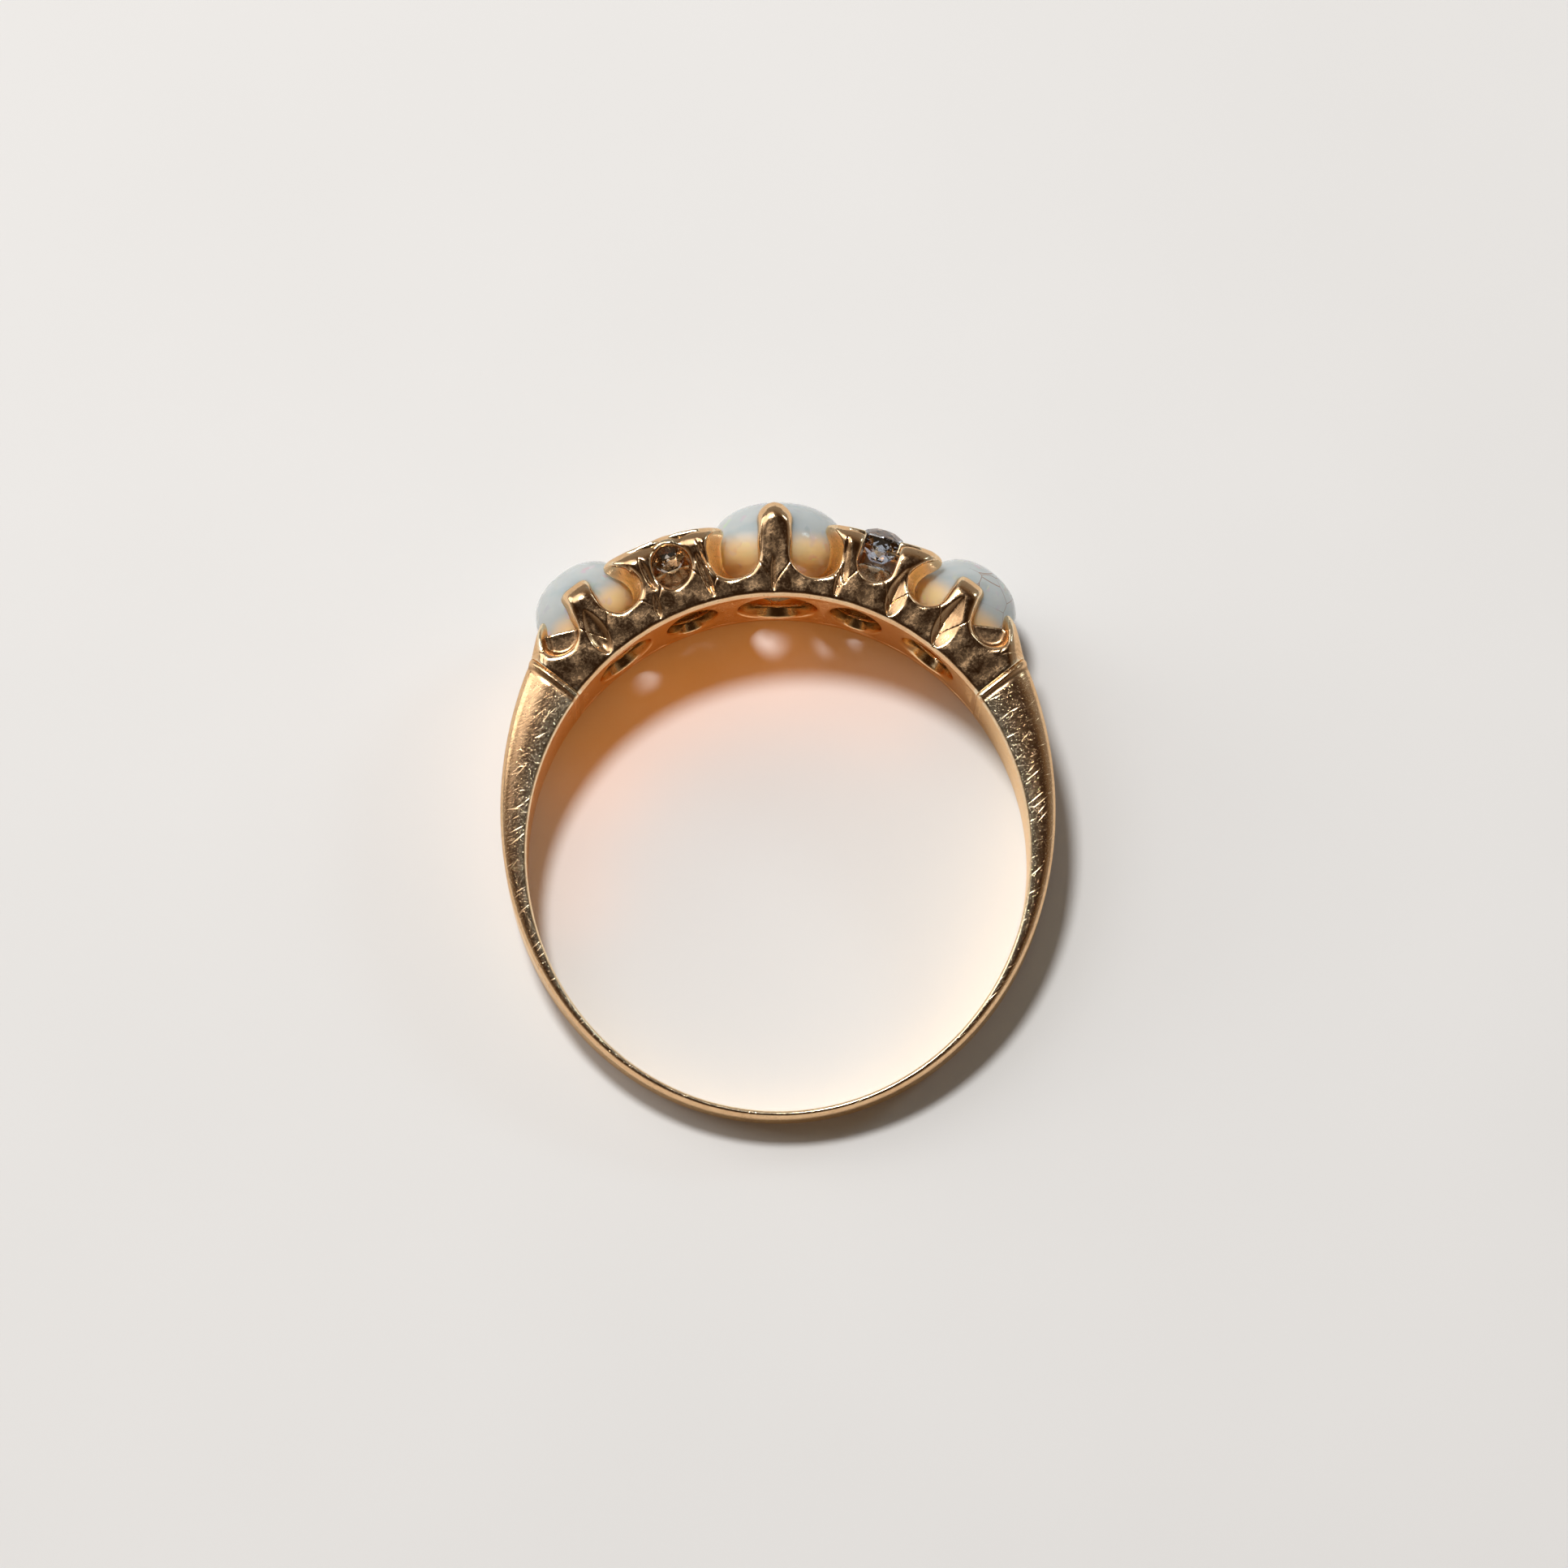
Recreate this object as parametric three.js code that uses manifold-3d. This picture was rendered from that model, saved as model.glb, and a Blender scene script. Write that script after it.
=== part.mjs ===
// Opal and diamond half-hoop ring, modelled in millimetres and lying on its side.
//
// The ring is drawn in its own coordinates first: x across the finger hole, y from the hole's middle
// towards the stones, w along the finger. Angles are in degrees, measured from the middle of the head.
// The ring is wider at the head than at the back, so its two side planes lean towards each other. The
// last lines turn it by that lean, which lays the lower side plane flat on z = 0.
import * as THREE from "three";
import { mergeVertices } from "three/addons/utils/BufferGeometryUtils.js";
import Module from "manifold-3d";

// Finger hole and width
const BORE_X = 8.5; // half the hole's width across the finger
const BORE_Y = 8.65; // half the hole's height, towards the stones
const LEAN = THREE.MathUtils.degToRad(6.2); // lean of each side plane
const HALF_WIDTH = 1.93; // half the ring's width along the finger, at the hole's middle
const GAP = 0.02; // joint line between soldered or set pieces
const REACH = 14; // half the size of a working block that holds the whole ring
const HEAD_START = 3; // y from which the head's working blocks start
const HALF_BLOCK = 5; // half a working block's height along the finger

// Shank
const SEAM = 51.7; // angle of the solder seam between shank and head
const BACK_THICKNESS = 0.3; // worn thin
const SEAM_THICKNESS = 2.08;
const TAPER = 3.6; // how late the shank thickens on its way up to the shoulder
const SHANK_STEP = 3; // degrees between sections

// Head
const RAIL_THICKNESS = 0.5;
const WALL_THICKNESS = 0.6;
const WALL_INSET = 0.26; // how far the claws stand proud of the gallery wall
const WALL_TOP = 10.5;
const CLAW_DEPTH = 0.86;
const STEM_START = 10; // a claw is as deep as CLAW_DEPTH above this height
const HEAD_END = SEAM - 0.15; // the head stops just short of the seam
const HEAD_STEP = 3; // degrees between sections

// Stones
const OPALS = [
  { name: "left", angle: -37.2, width: 3.75, length: 4.75, girdle: 10.5, dome: 1.75 },
  { name: "centre", angle: 0, width: 4.75, length: 5.55, girdle: 10.52, dome: 1.7 },
  { name: "right", angle: 36.4, width: 3.75, length: 4.75, girdle: 10.5, dome: 1.75 },
];
const DIAMONDS = [
  { name: "left", angle: -19.9 },
  { name: "right", angle: 17.9 },
];
const DIAMOND_W = 1.62; // distance of each diamond from the ring's middle plane
const DIAMOND_RADIUS = 0.86;
const DIAMOND_GIRDLE = 11.1;
const LEDGE = 0.1; // how far the saddle reaches under a diamond's edge
const SADDLE_HALF = 6.1; // half the saddle's spread, in degrees
const SADDLE_LOW = 10.75;
const SADDLE_TOP = 11.3;
const SADDLE_INSET = 0.25;
const SIDES = [1, -1]; // front, then back
const OPAL_HOLE = 0.27; // radius of the hole behind an opal, in opal widths
const DIAMOND_HOLE = 0.7; // radius of the hole behind a pair of diamonds
const DRILL_LENGTH = 4; // long enough to go through a pierced strip or plate
const OPAL_FOOT = 0.42; // depth of an opal below its girdle
const FOOT_FULLNESS = 0.7; // under 1 fills out the foot's corner

// A single-cut diamond's proportions, in girdle radii
const PAVILION = 0.72;
const CROWN = 0.38;
const TABLE = 0.58;
const GIRDLE_HALF = 0.03; // half the girdle's height, in millimetres

// Facet counts
const HOLE_SIDES = 24;
const SLOT_STEPS = 12;
const DOME_STEPS = 7;
const FOOT_STEPS = 4;
const OPAL_SIDES = 36;
const DIAMOND_FACETS = 8;
const WELD = 1e-4; // corners closer than this are one corner

// Round-bottomed openings cut down between the claws: angle, height of the lowest point, width.
// The ring was cut by hand, so its left and right sides differ a little.
const SCALLOPS = [
  { angle: -44.8, floor: 9.75, width: 1.3 },
  { angle: -33.2, floor: 9.6, width: 1.1 },
  { angle: -20.3, floor: 9.6, width: 1.3 },
  { angle: -7.9, floor: 9.3, width: 1.2 },
  { angle: 6.3, floor: 9.3, width: 1.2 },
  { angle: 18.3, floor: 9.7, width: 1.3 },
  { angle: 29.9, floor: 9.55, width: 1.2 },
  { angle: 43.2, floor: 9.55, width: 1.4 },
];

// Looks for the quick views
const GOLD = { color: 0xb98a52, metalness: 1, roughness: 0.25 };
const OPAL = { color: 0xcfd8d8, metalness: 0, roughness: 0.2 };
const DIAMOND = { color: 0xe8eef2, metalness: 0, roughness: 0.02 };

const wasm = await Module();
wasm.setup();

const rad = THREE.MathUtils.degToRad;
const halfWidthAt = (y) => HALF_WIDTH + y * Math.tan(LEAN);
const boreRadius = (angle) =>
  1 / Math.hypot(Math.sin(rad(angle)) / BORE_X, Math.cos(rad(angle)) / BORE_Y);
const polar = (angle, radius) =>
  new THREE.Vector2(radius * Math.sin(rad(angle)), radius * Math.cos(rad(angle)));

function thicknessAt(angle) {
  const rise = (180 - Math.abs(angle)) / (180 - SEAM);
  return BACK_THICKNESS + (SEAM_THICKNESS - BACK_THICKNESS) * rise ** TAPER;
}

// A closed three.js geometry as a manifold-3d solid.
function solidOf(geometry) {
  const bare = geometry.index ? geometry.toNonIndexed() : geometry.clone();
  bare.deleteAttribute("normal");
  bare.deleteAttribute("uv");
  const merged = mergeVertices(bare, WELD);
  return new wasm.Manifold(
    new wasm.Mesh({
      numProp: 3,
      vertProperties: merged.attributes.position.array,
      triVerts: new Uint32Array(merged.index.array),
    }),
  );
}

function geometryOf(solid) {
  const mesh = solid.getMesh();
  const geometry = new THREE.BufferGeometry();
  geometry.setAttribute("position", new THREE.BufferAttribute(mesh.vertProperties, 3));
  geometry.setIndex(new THREE.BufferAttribute(mesh.triVerts, 1));
  return geometry;
}

// A flat outline drawn in x and y, raised along w past both sides of the ring.
function prism(points) {
  const geometry = new THREE.ExtrudeGeometry(new THREE.Shape(points), {
    depth: 2 * HALF_BLOCK,
    bevelEnabled: false,
  });
  return solidOf(geometry.translate(0, 0, -HALF_BLOCK));
}

// The space between the ring's side planes, drawn in by inset, and on one side of the middle plane
// only if side is 1 or -1 and core says how far from the middle it starts.
function sideSlab(inset, side = 0, core = 0) {
  const start = inset > 0 ? HEAD_START : -REACH;
  const edge = (y) => halfWidthAt(y) - inset;
  const inner = side === 0 ? (y) => -edge(y) : (y) => side * (edge(y) - core);
  const outer = side === 0 ? edge : (y) => side * edge(y);
  const points = [
    new THREE.Vector2(start, inner(start)),
    new THREE.Vector2(REACH, inner(REACH)),
    new THREE.Vector2(REACH, outer(REACH)),
    new THREE.Vector2(start, outer(start)),
  ];
  const geometry = new THREE.ExtrudeGeometry(new THREE.Shape(points), {
    depth: 2 * REACH,
    bevelEnabled: false,
  });
  // Shape x, y and depth become the ring's y, w and x.
  const turn = new THREE.Matrix4().set(0, 0, 1, -REACH, 1, 0, 0, 0, 0, 1, 0, 0, 0, 0, 0, 1);
  return solidOf(geometry.applyMatrix4(turn));
}

// Points of an arc band between two heights over the bore centre, from one angle to another.
function band(from, to, step, inner, outer) {
  const count = Math.round((to - from) / step);
  const angles = Array.from({ length: count + 1 }, (_, i) => from + ((to - from) * i) / count);
  const low = angles.map((a) => polar(a, inner(a)));
  const high = angles.map((a) => polar(a, outer(a)));
  return [...low, ...high.reverse()];
}

function makeShank() {
  const outline = band(
    SEAM,
    360 - SEAM,
    SHANK_STEP,
    (a) => boreRadius(a),
    (a) => boreRadius(a) + thicknessAt(a > 180 ? a - 360 : a),
  );
  return prism(outline).intersect(sideSlab(0));
}

// A round-bottomed slot, open towards the stones and right through the ring.
function slot({ angle, floor, width }) {
  const r = width / 2;
  const arc = Array.from({ length: SLOT_STEPS + 1 }, (_, i) => {
    const t = Math.PI * (1 + i / SLOT_STEPS);
    return new THREE.Vector2(r * Math.cos(t), floor + r + r * Math.sin(t));
  });
  const points = [...arc, new THREE.Vector2(r, REACH), new THREE.Vector2(-r, REACH)];
  return prism(points.map((p) => p.rotateAround(new THREE.Vector2(), rad(-angle))));
}

// A drill for a hole towards the finger, with its middle at a height and at w.
function drill(radius, height, w) {
  const cylinder = new THREE.CylinderGeometry(radius, radius, DRILL_LENGTH, HOLE_SIDES);
  return cylinder.translate(0, height, w);
}

// The strip that lies against the finger, pierced behind every stone.
function makeRail() {
  const top = (a) => boreRadius(a) + RAIL_THICKNESS;
  const outline = band(-HEAD_END, HEAD_END, HEAD_STEP, boreRadius, top);
  let rail = prism(outline).intersect(sideSlab(WALL_INSET + WALL_THICKNESS + GAP));
  const holes = [
    ...OPALS.map((o) => ({ angle: o.angle, radius: OPAL_HOLE * o.width })),
    ...DIAMONDS.map((d) => ({ angle: d.angle, radius: DIAMOND_HOLE })),
  ];
  for (const { angle, radius } of holes) {
    rail = rail.subtract(solidOf(drill(radius, BORE_Y, 0).rotateZ(rad(-angle))));
  }
  return rail;
}

// A scalloped gallery wall, on the front (side 1) or the back (side -1).
function makeWall(side, cutters) {
  const outline = band(-HEAD_END, HEAD_END, HEAD_STEP, boreRadius, () => WALL_TOP);
  let wall = prism(outline).intersect(sideSlab(WALL_INSET, side, WALL_THICKNESS));
  for (const scallop of SCALLOPS) wall = wall.subtract(slot(scallop));
  for (const cutter of cutters) wall = wall.subtract(cutter);
  return wall;
}

// The outline of a claw: half widths at heights, from its pointed foot to its tip.
const CLAW_OUTLINES = {
  opal: [[8.9, 0.04], [9.25, 0.2], [9.8, 0.4], [10.4, 0.44], [11.0, 0.47], [11.3, 0.42], [11.42, 0.25]],
  centre: [[8.9, 0.1], [9.25, 0.3], [9.8, 0.38], [10.5, 0.41], [11.2, 0.45], [11.7, 0.42], [11.84, 0.22]],
  pair: [[8.95, 0.06], [9.3, 0.24], [9.9, 0.4], [10.4, 0.46], [10.9, 0.6], [11.25, 0.66], [11.36, 0.5]],
  end: [[9.5, 0.06], [9.75, 0.3], [10.1, 0.4], [10.5, 0.33], [10.9, 0.12], [11.0, 0.03]],
};
const CLAWS = [
  { name: "end_left", kind: "end", angle: -48.6 },
  { name: "opal_left", kind: "opal", angle: -38.3 },
  { name: "pair_left_outer", kind: "pair", angle: -26.4 },
  { name: "pair_left_inner", kind: "pair", angle: -13.8 },
  { name: "opal_centre", kind: "centre", angle: -0.6 },
  { name: "pair_right_inner", kind: "pair", angle: 12.2 },
  { name: "pair_right_outer", kind: "pair", angle: 23.9 },
  { name: "opal_right", kind: "opal", angle: 36.6 },
  { name: "end_right", kind: "end", angle: 48.2 },
];

function clawPoints(kind, grow, lowest) {
  const half = CLAW_OUTLINES[kind].filter(([r]) => r >= lowest);
  const right = half.map(([r, s]) => new THREE.Vector2(s + grow, r));
  const left = half.map(([r, s]) => new THREE.Vector2(-s - grow, r)).reverse();
  return [...right, ...left];
}

// A claw: a leaf on the wall's outer face, and above the wall a stem as deep as the wall itself.
function makeClaw({ kind, angle }, side, grow = 0) {
  const turn = (points) => points.map((p) => p.rotateAround(new THREE.Vector2(), rad(-angle)));
  const leaf = prism(turn(clawPoints(kind, grow, 0)));
  const stem = prism(turn(clawPoints(kind, grow, STEM_START)));
  return leaf
    .intersect(sideSlab(-grow, side, WALL_INSET - GAP + grow))
    .add(stem.intersect(sideSlab(-grow, side, CLAW_DEPTH + 2 * grow)));
}

// The saddle across each gap between the opals: a plate pierced for two diamonds.
function makeSaddle({ angle }, cutters) {
  const from = angle - SADDLE_HALF;
  const to = angle + SADDLE_HALF;
  const outline = band(from, to, HEAD_STEP, () => SADDLE_LOW, () => SADDLE_TOP);
  let saddle = prism(outline).intersect(sideSlab(SADDLE_INSET));
  for (const side of SIDES) {
    const hole = drill(DIAMOND_RADIUS - LEDGE, DIAMOND_GIRDLE, side * DIAMOND_W);
    saddle = saddle.subtract(solidOf(hole.rotateZ(rad(-angle))));
  }
  for (const cutter of cutters) saddle = saddle.subtract(cutter);
  return saddle;
}

// An oval cabochon: a domed top over a shallow rounded base. grow swells it to cut its own seat.
function makeOpal({ angle, width, length, girdle, dome }, grow = 0) {
  const foot = OPAL_FOOT + grow;
  const profile = [];
  for (let i = 0; i < FOOT_STEPS; i++) {
    const t = (Math.PI / 2) * (i / FOOT_STEPS);
    profile.push(new THREE.Vector2(Math.sin(t), -foot * Math.cos(t) ** FOOT_FULLNESS));
  }
  for (let i = 0; i < DOME_STEPS; i++) {
    const t = (Math.PI / 2) * (i / DOME_STEPS);
    profile.push(new THREE.Vector2(Math.cos(t), (dome + grow) * Math.sin(t)));
  }
  profile.push(new THREE.Vector2(0, dome + grow));
  const stone = new THREE.LatheGeometry(profile, OPAL_SIDES);
  stone.scale(width / 2 + grow, 1, length / 2 + grow).translate(0, girdle, 0);
  return solidOf(stone.rotateZ(rad(-angle)));
}

// A single-cut diamond: table, eight crown facets, girdle and eight pavilion facets.
function makeDiamond({ angle }, side, grow = 0) {
  const r = DIAMOND_RADIUS + grow;
  const profile = [
    [0, -PAVILION * r - grow],
    [r, -GIRDLE_HALF],
    [r, GIRDLE_HALF + grow],
    [TABLE * r, CROWN * r + grow],
    [0, CROWN * r + grow],
  ].map(([x, y]) => new THREE.Vector2(x, y));
  const stone = new THREE.LatheGeometry(profile, DIAMOND_FACETS).rotateY(Math.PI / DIAMOND_FACETS);
  stone.translate(0, DIAMOND_GIRDLE, side * DIAMOND_W).rotateZ(rad(-angle));
  return solidOf(stone);
}

const ring = new THREE.Group();
function place(name, solid, look) {
  const mesh = new THREE.Mesh(geometryOf(solid), new THREE.MeshStandardMaterial(look));
  mesh.name = name;
  ring.add(mesh);
}

// Stones come first, because every claw and plate is cut to hold them.
const stones = OPALS.map((o) => makeOpal(o, GAP));
for (const diamond of DIAMONDS)
  for (const side of SIDES) stones.push(makeDiamond(diamond, side, GAP));
const cutBy = (solid, cutters) => cutters.reduce((left, cutter) => left.subtract(cutter), solid);
const sideName = (side) => (side > 0 ? "front" : "back");

place("shank", makeShank(), GOLD);
place("gallery_rail", makeRail(), GOLD);
const clawRoom = [];
for (const side of SIDES) {
  const room = CLAWS.map((claw) => makeClaw(claw, side, GAP));
  clawRoom.push(...room);
  place(`gallery_wall_${sideName(side)}`, makeWall(side, [...room, ...stones]), GOLD);
  for (const claw of CLAWS)
    place(`claw_${sideName(side)}_${claw.name}`, cutBy(makeClaw(claw, side), stones), GOLD);
}
for (const diamond of DIAMONDS) {
  place(`diamond_saddle_${diamond.name}`, makeSaddle(diamond, [...clawRoom, ...stones]), GOLD);
  for (const side of SIDES)
    place(`diamond_${diamond.name}_${sideName(side)}`, makeDiamond(diamond, side), DIAMOND);
}
for (const opal of OPALS) place(`opal_${opal.name}`, makeOpal(opal), OPAL);

// Lay the ring on its side: turn the lower side plane level and put the origin under its middle.
ring.rotation.x = LEAN;
const box = new THREE.Box3().setFromObject(ring, true);
const centre = box.getCenter(new THREE.Vector3());
ring.position.set(-centre.x, -centre.y, -box.min.z);
ring.updateMatrixWorld(true);

export default ring;
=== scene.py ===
import math

import bmesh
import bpy
import numpy as np
from mathutils import Matrix, Vector


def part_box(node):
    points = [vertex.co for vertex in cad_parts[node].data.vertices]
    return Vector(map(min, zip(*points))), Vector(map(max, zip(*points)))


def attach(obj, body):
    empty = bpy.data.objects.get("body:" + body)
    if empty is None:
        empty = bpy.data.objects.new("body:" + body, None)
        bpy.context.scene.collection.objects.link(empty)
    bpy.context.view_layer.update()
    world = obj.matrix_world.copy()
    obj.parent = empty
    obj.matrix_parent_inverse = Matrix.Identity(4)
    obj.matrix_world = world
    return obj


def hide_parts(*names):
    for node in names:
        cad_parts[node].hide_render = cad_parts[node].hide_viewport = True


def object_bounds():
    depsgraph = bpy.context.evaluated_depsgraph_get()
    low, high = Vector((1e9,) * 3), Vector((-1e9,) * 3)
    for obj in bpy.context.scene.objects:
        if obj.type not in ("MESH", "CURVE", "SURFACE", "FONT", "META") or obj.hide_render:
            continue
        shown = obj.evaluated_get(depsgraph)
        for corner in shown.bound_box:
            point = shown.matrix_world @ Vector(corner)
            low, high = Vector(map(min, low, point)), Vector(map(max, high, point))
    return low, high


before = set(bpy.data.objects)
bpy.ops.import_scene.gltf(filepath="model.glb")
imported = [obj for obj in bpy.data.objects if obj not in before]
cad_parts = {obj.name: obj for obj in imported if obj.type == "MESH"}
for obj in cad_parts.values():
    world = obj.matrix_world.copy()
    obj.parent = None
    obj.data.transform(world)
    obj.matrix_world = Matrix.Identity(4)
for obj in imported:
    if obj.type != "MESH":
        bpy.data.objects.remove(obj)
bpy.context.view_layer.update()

# An antique half-hoop ring, lying on its side: three oval opals in carved claws, a pair of old-cut
# diamonds in each gap, a scalloped gallery and a tapering shank.
#
# Lengths here are millimetres in the ring's own coordinates: x across the finger hole, y from the
# hole's middle towards the stones, w along the finger. Angles are degrees from the head's middle.
# in_frame() turns them into the frame's metres.

MM = 0.001

# ---- the ring's driving sizes ----
BORE_X = 8.5  # half the finger hole, across
BORE_Y = 8.65  # half the finger hole, towards the stones
LEAN = math.radians(6.2)  # each side plane leans inwards towards the back
HALF_WIDTH = 1.93  # half the ring's width at the hole's middle
SEAM = 51.7  # solder seam between shank and head
BACK_THICKNESS = 0.3  # worn thin
SEAM_THICKNESS = 2.08
TAPER = 3.6  # how quickly the shank thickens towards the seam

WALL = 0.9  # thickness of each gallery wall, along the finger
WALL_FOOT = 0.55  # the walls are thinner against the finger, beside the pierced rail
RAIL = 0.5  # thickness of the strip against the finger
RIM_BEVEL = 0.11  # polished bevel where the side faces meet the bore


def half_width(y):
    """How far the side planes are from the ring's middle plane, at this distance up the hole."""
    return HALF_WIDTH + y * math.tan(LEAN)


def bore_radius(angle):
    """Distance from the hole's middle to its wall, which is an ellipse."""
    a = np.radians(angle)
    return 1 / np.hypot(np.sin(a) / BORE_X, np.cos(a) / BORE_Y)


BACK_Y = -(BORE_Y + BACK_THICKNESS)
LIFT = HALF_WIDTH * math.cos(LEAN)
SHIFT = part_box("shank")[0][1] / MM - BACK_Y * math.cos(LEAN) + half_width(BACK_Y) * math.sin(LEAN)


def in_frame(points):
    """Ring coordinates in millimetres to the frame's metres."""
    x, y, w = np.asarray(points, float).T
    across = y * math.cos(LEAN) - w * math.sin(LEAN) + SHIFT
    up = y * math.sin(LEAN) + w * math.cos(LEAN) + LIFT
    return np.stack([x, across, up], 1) * MM


# ---- pieces ----
def new_object(name, data):
    thing = bpy.data.objects.new(name, data)
    bpy.context.collection.objects.link(thing)
    return thing


def put(name, points, faces, material, attribute, values):
    """A smooth piece from ring coordinates, with one number for each of its points."""
    mesh = bpy.data.meshes.new(name)
    mesh.from_pydata(in_frame(points).tolist(), [], faces)
    numbers = mesh.attributes.new(attribute, "FLOAT", "POINT")
    numbers.data.foreach_set("value", np.ascontiguousarray(values, np.float32))
    mesh.materials.append(material)
    mesh.polygons.foreach_set("use_smooth", [True] * len(mesh.polygons))
    mesh.validate()
    return new_object(name, mesh)


def outward(piece):
    """Turns a closed mesh the right way out if its faces point inwards."""
    mesh = piece.data
    mesh.calc_loop_triangles()
    corners = np.empty(len(mesh.vertices) * 3)
    mesh.vertices.foreach_get("co", corners)
    corners = corners.reshape(-1, 3)
    triangles = np.empty(len(mesh.loop_triangles) * 3, int)
    mesh.loop_triangles.foreach_get("vertices", triangles)
    a, b, c = corners[triangles.reshape(-1, 3).T]
    if np.einsum("ij,ij->i", a, np.cross(b, c)).sum() < 0:
        mesh.flip_normals()
    return piece


def finish_piece(piece, slot, *nodes):
    """Hides the CAD nodes that the piece stands in for, and puts it under the ring's root body, as a fixed
    part of the ring.
    """
    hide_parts(*nodes)
    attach(piece, "root")


# ---- formulas as nodes ----
class Formula:
    """A number worked out by Math nodes, so that a formula can be written as one."""

    def __init__(self, tree, socket):
        self.tree = tree
        self.socket = socket

    def math(self, operation, *others):
        node = self.tree.nodes.new("ShaderNodeMath")
        node.operation = operation
        for slot, value in zip(node.inputs, (self, *others)):
            if isinstance(value, Formula):
                self.tree.links.new(value.socket, slot)
            else:
                slot.default_value = value
        return Formula(self.tree, node.outputs[0])

    def __add__(self, other):
        return self.math("ADD", other)

    def __sub__(self, other):
        return self.math("SUBTRACT", other)

    def __rsub__(self, other):
        return self.math("MULTIPLY", -1.0).math("ADD", other)

    def __mul__(self, other):
        return self.math("MULTIPLY", other)

    def __truediv__(self, other):
        return self.math("DIVIDE", other)

    def __pow__(self, other):
        return self.math("POWER", other)

    def sin(self):
        return self.math("SINE")

    def cos(self):
        return self.math("COSINE")

    def sign(self):
        return self.math("SIGN")

    def sqrt(self):
        return self.math("SQRT")

    def size(self):
        return self.math("ABSOLUTE")

    def low(self, other):
        return self.math("MINIMUM", other)

    def high(self, other):
        return self.math("MAXIMUM", other)

    def over(self, limit):
        return self.math("GREATER_THAN", limit)

    def clipped(self):
        """Kept between nothing and one."""
        return self.low(1.0).high(0.0)

    def bell(self, middle, spread):
        """One at the middle, falling smoothly away on both sides."""
        return (((self - middle) / spread) ** 2.0 * -1.0).math("EXPONENT")

    def ramp(self, low, high, start=0.0, end=1.0):
        """Mapped smoothly from low..high to start..end."""
        node = self.tree.nodes.new("ShaderNodeMapRange")
        node.interpolation_type = "SMOOTHSTEP"
        for key, number in zip(("From Min", "From Max", "To Min", "To Max"), (low, high, start, end)):
            node.inputs[key].default_value = number
        self.tree.links.new(self.socket, node.inputs["Value"])
        return Formula(self.tree, node.outputs[0])

    def blend(self, first, second):
        """The colour this far between two colours or colour sockets."""
        node = self.tree.nodes.new("ShaderNodeMix")
        node.data_type = "RGBA"
        self.tree.links.new(self.socket, node.inputs["Factor"])
        for value, slot in ((first, node.inputs[6]), (second, node.inputs[7])):
            if isinstance(value, tuple):
                slot.default_value = (*value, 1)
            else:
                self.tree.links.new(value, slot)
        return node.outputs[2]


def parts_of(tree, socket):
    """The three numbers of a vector socket, as formulas."""
    split = tree.nodes.new("ShaderNodeSeparateXYZ")
    tree.links.new(socket, split.inputs[0])
    return [Formula(tree, part) for part in split.outputs]


def geometry_tree(name, sizes):
    """An empty geometry tree with named number inputs, and those inputs as formulas."""
    tree = bpy.data.node_groups.new(name, "GeometryNodeTree")
    tree.interface.new_socket("Geometry", in_out="OUTPUT", socket_type="NodeSocketGeometry")
    tree.interface.new_socket("Geometry", in_out="INPUT", socket_type="NodeSocketGeometry")
    for key, value in sizes.items():
        socket = tree.interface.new_socket(key, in_out="INPUT", socket_type="NodeSocketFloat")
        socket.default_value = value
    entry = tree.nodes.new("NodeGroupInput")
    return tree, {key: Formula(tree, entry.outputs[key]) for key in sizes}


def end_tree(tree, geometry, material):
    """Realize Instances and Set Material, then out."""
    realize = tree.nodes.new("GeometryNodeRealizeInstances")
    paint = tree.nodes.new("GeometryNodeSetMaterial")
    paint.inputs["Material"].default_value = material
    exit_node = tree.nodes.new("NodeGroupOutput")
    tree.links.new(geometry, realize.inputs[0])
    tree.links.new(realize.outputs[0], paint.inputs["Geometry"])
    tree.links.new(paint.outputs[0], exit_node.inputs[0])


def grown(name, tree, sizes):
    """A piece with the plain mesh that a geometry tree makes with these sizes."""
    host = new_object(name + "_host", bpy.data.meshes.new(name + "_host"))
    modifier = host.modifiers.new("grow", "NODES")
    modifier.node_group = tree
    for item in tree.interface.items_tree:
        if item.in_out == "INPUT" and item.name in sizes:
            modifier[item.identifier] = float(sizes[item.name])
    evaluated = host.evaluated_get(bpy.context.evaluated_depsgraph_get())
    mesh = bpy.data.meshes.new_from_object(evaluated)
    bpy.data.objects.remove(host)
    mesh.name = name
    return new_object(name, mesh)


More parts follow.
